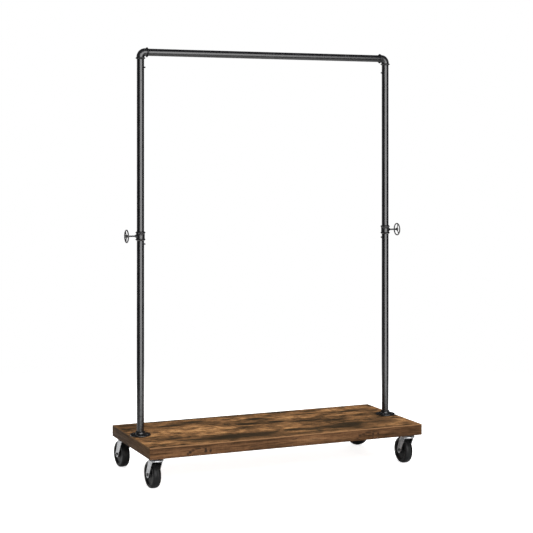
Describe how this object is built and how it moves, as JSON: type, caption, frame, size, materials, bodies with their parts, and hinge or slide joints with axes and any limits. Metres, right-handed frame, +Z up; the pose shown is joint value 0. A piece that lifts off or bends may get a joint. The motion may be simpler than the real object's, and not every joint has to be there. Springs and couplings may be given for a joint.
{
  "type": "rolling clothes rack",
  "caption": "Clothes rack of black pipe: a hanging rail on two uprights that stand on a thick wood-look deck with swivel casters.",
  "frame": {"origin": "on the floor, below the middle of the whole rack's footprint, with the casters trailing to the back", "axes": "+X along the hanging rail, +Y to the back, +Z up"},
  "size_m": [1.138, 0.4936, 1.5956],
  "materials": {
    "rustic_wood": "satin wood-look laminate, rustic brown with dark streaks",
    "wood_edging": "satin wood-look edging",
    "black_pipe": "satin black powder coat",
    "black_casting": "satin black paint over a cast surface",
    "black_screw": "black zinc",
    "zinc_plate": "bright zinc plate",
    "black_rubber": "moulded, satin"
  },
  "bodies": {
    "rack": {"deck_upper_panel": "rustic_wood", "deck_lower_panel": "rustic_wood", "edge_band_front": "wood_edging", "edge_band_back": "wood_edging", "edge_band_left": "wood_edging", "edge_band_right": "wood_edging", "floor_flange_left": "black_casting", "lower_nipple_left": "black_pipe", "lower_tube_left": "black_pipe", "inner_sleeve_left": "black_pipe", "lower_fixing_screw_left": "black_screw", "tee_coupling_left": "black_casting", "upper_tube_left": "black_pipe", "upper_nipple_left": "black_pipe", "top_fixing_screw_left": "black_screw", "elbow_left": "black_casting", "flange_screw_left_1": "black_screw", "flange_screw_left_2": "black_screw", "flange_screw_left_3": "black_screw", "flange_screw_left_4": "black_screw", "floor_flange_right": "black_casting", "lower_nipple_right": "black_pipe", "lower_tube_right": "black_pipe", "inner_sleeve_right": "black_pipe", "lower_fixing_screw_right": "black_screw", "tee_coupling_right": "black_casting", "upper_tube_right": "black_pipe", "upper_nipple_right": "black_pipe", "top_fixing_screw_right": "black_screw", "elbow_right": "black_casting", "flange_screw_right_1": "black_screw", "flange_screw_right_2": "black_screw", "flange_screw_right_3": "black_screw", "flange_screw_right_4": "black_screw", "hanging_rail": "black_pipe", "caster_plate_front_left": "zinc_plate", "caster_kingpin_front_left": "zinc_plate", "caster_plate_front_right": "zinc_plate", "caster_kingpin_front_right": "zinc_plate", "caster_plate_back_right": "zinc_plate", "caster_kingpin_back_right": "zinc_plate", "caster_plate_back_left": "zinc_plate", "caster_kingpin_back_left": "zinc_plate"},
    "left_handwheel": {"handwheel_left": "black_casting", "stem_left": "black_screw"},
    "right_handwheel": {"handwheel_right": "black_casting", "stem_right": "black_screw"},
    "front_left_fork": {"caster_fork_front_left": "zinc_plate", "caster_axle_front_left": "black_screw"},
    "front_left_wheel": {"caster_wheel_front_left": "black_rubber"},
    "front_right_fork": {"caster_fork_front_right": "zinc_plate", "caster_axle_front_right": "black_screw"},
    "front_right_wheel": {"caster_wheel_front_right": "black_rubber"},
    "back_right_fork": {"caster_fork_back_right": "zinc_plate", "caster_axle_back_right": "black_screw"},
    "back_right_wheel": {"caster_wheel_back_right": "black_rubber"},
    "back_left_fork": {"caster_fork_back_left": "zinc_plate", "caster_axle_back_left": "black_screw"},
    "back_left_wheel": {"caster_wheel_back_left": "black_rubber"}
  },
  "joints": [
    {"name": "left_handwheel_turn", "type": "hinge", "parent": "rack", "child": "left_handwheel", "pos_m": [-0.511, -0.02031, 0.897], "axis": [-1, 0, 0], "range_deg": [0, 540]},
    {"name": "right_handwheel_turn", "type": "hinge", "parent": "rack", "child": "right_handwheel", "pos_m": [0.511, -0.02031, 0.897], "axis": [1, 0, 0], "range_deg": [0, 540]},
    {"name": "front_left_swivel", "type": "hinge", "parent": "rack", "child": "front_left_fork", "pos_m": [-0.512, -0.20331, 0.1], "axis": [0, 0, 1], "continuous": true},
    {"name": "front_left_roll", "type": "hinge", "parent": "front_left_fork", "child": "front_left_wheel", "pos_m": [-0.51402, -0.16937, 0.05], "axis": [0.9982, 0.0593, 0], "continuous": true},
    {"name": "front_right_swivel", "type": "hinge", "parent": "rack", "child": "front_right_fork", "pos_m": [0.512, -0.20331, 0.1], "axis": [0, 0, 1], "continuous": true},
    {"name": "front_right_roll", "type": "hinge", "parent": "front_right_fork", "child": "front_right_wheel", "pos_m": [0.51135, -0.16932, 0.05], "axis": [0.9998, 0.0192, 0], "continuous": true},
    {"name": "back_right_swivel", "type": "hinge", "parent": "rack", "child": "back_right_fork", "pos_m": [0.512, 0.16269, 0.1], "axis": [0, 0, 1], "continuous": true},
    {"name": "back_right_roll", "type": "hinge", "parent": "back_right_fork", "child": "back_right_wheel", "pos_m": [0.49348, 0.1912, 0.05], "axis": [0.8387, 0.5446, 0], "continuous": true},
    {"name": "back_left_swivel", "type": "hinge", "parent": "rack", "child": "back_left_fork", "pos_m": [-0.512, 0.16269, 0.1], "axis": [0, 0, 1], "continuous": true},
    {"name": "back_left_roll", "type": "hinge", "parent": "back_left_fork", "child": "back_left_wheel", "pos_m": [-0.51496, 0.19656, 0.05], "axis": [0.9962, 0.0872, 0], "continuous": true}
  ]
}
